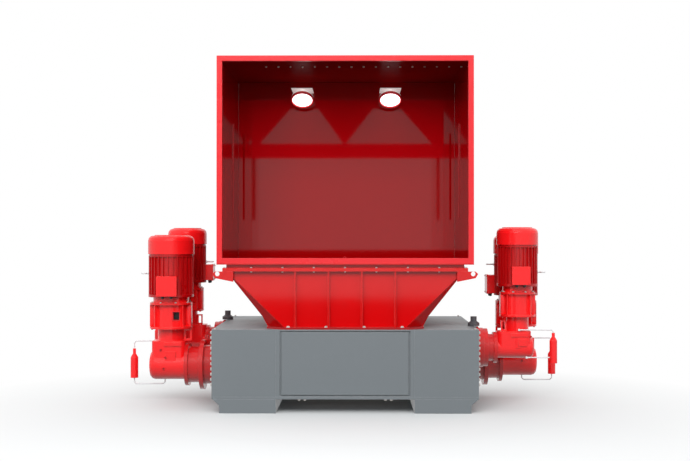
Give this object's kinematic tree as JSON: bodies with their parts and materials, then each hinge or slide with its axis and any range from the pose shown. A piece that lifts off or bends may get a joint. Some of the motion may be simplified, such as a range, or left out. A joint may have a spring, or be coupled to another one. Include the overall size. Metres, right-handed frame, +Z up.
{
  "type": "four shaft shredder",
  "caption": "Industrial shredder with an open front hopper, a ribbed funnel, a grey cutting chamber with hooked cutter shafts and upright gearmotors at its ends.",
  "frame": {"origin": "middle of the footprint on the floor", "axes": "+Z up, the open hopper mouth faces -Y, +X to the right seen from the mouth"},
  "size_m": [4.24, 1.84, 3.296],
  "materials": {
    "red_paint": "glossy red paint",
    "drive_paint": "semi-gloss red paint on castings",
    "grey_paint": "satin grey paint",
    "cutter_steel": "ground tool steel",
    "lamp_metal": "cast lamp body",
    "lamp_lens": "lit frosted lens",
    "pipe_steel": "zinc plated tube",
    "bolt_steel": "zinc plated fasteners",
    "dark_iron": "dark cast iron",
    "dark_rubber": "matt seals and cable glands"
  },
  "bodies": {
    "root": {"base_plate": "grey_paint", "bearing_housing_a": "drive_paint", "bearing_housing_b": "drive_paint", "bearing_housing_c": "drive_paint", "bearing_housing_d": "drive_paint", "end_caps": "grey_paint", "fan_cowl_a": "drive_paint", "fan_cowl_b": "drive_paint", "fan_cowl_c": "drive_paint", "fan_cowl_d": "drive_paint", "front_wall": "grey_paint", "funnel_foot_flange": "red_paint", "funnel_front": "red_paint", "funnel_left": "red_paint", "funnel_rear": "red_paint", "funnel_right": "red_paint", "funnel_top_flange": "red_paint", "gearbox_a": "drive_paint", "gearbox_b": "drive_paint", "gearbox_c": "drive_paint", "gearbox_d": "drive_paint", "hopper_back_wall": "red_paint", "hopper_base": "red_paint", "hopper_front_rim": "red_paint", "hopper_left_wall": "red_paint", "hopper_right_wall": "red_paint", "hopper_roof": "red_paint", "lantern_a": "drive_paint", "lantern_b": "drive_paint", "lantern_c": "drive_paint", "lantern_d": "drive_paint", "left_bearing_box": "grey_paint", "left_floodlight": "lamp_metal", "left_skid": "grey_paint", "lifting_lugs": "red_paint", "lubricators": "dark_iron", "motor_a": "drive_paint", "motor_b": "drive_paint", "motor_c": "drive_paint", "motor_d": "drive_paint", "oil_pipes": "pipe_steel", "oil_tanks": "drive_paint", "rear_wall": "grey_paint", "right_bearing_box": "grey_paint", "right_floodlight": "lamp_metal", "right_skid": "grey_paint", "shaft_a": "cutter_steel", "shaft_b": "cutter_steel", "shaft_c": "cutter_steel", "shaft_d": "cutter_steel", "terminal_boxes": "drive_paint", "wall_strips": "red_paint"}
  },
  "joints": []
}
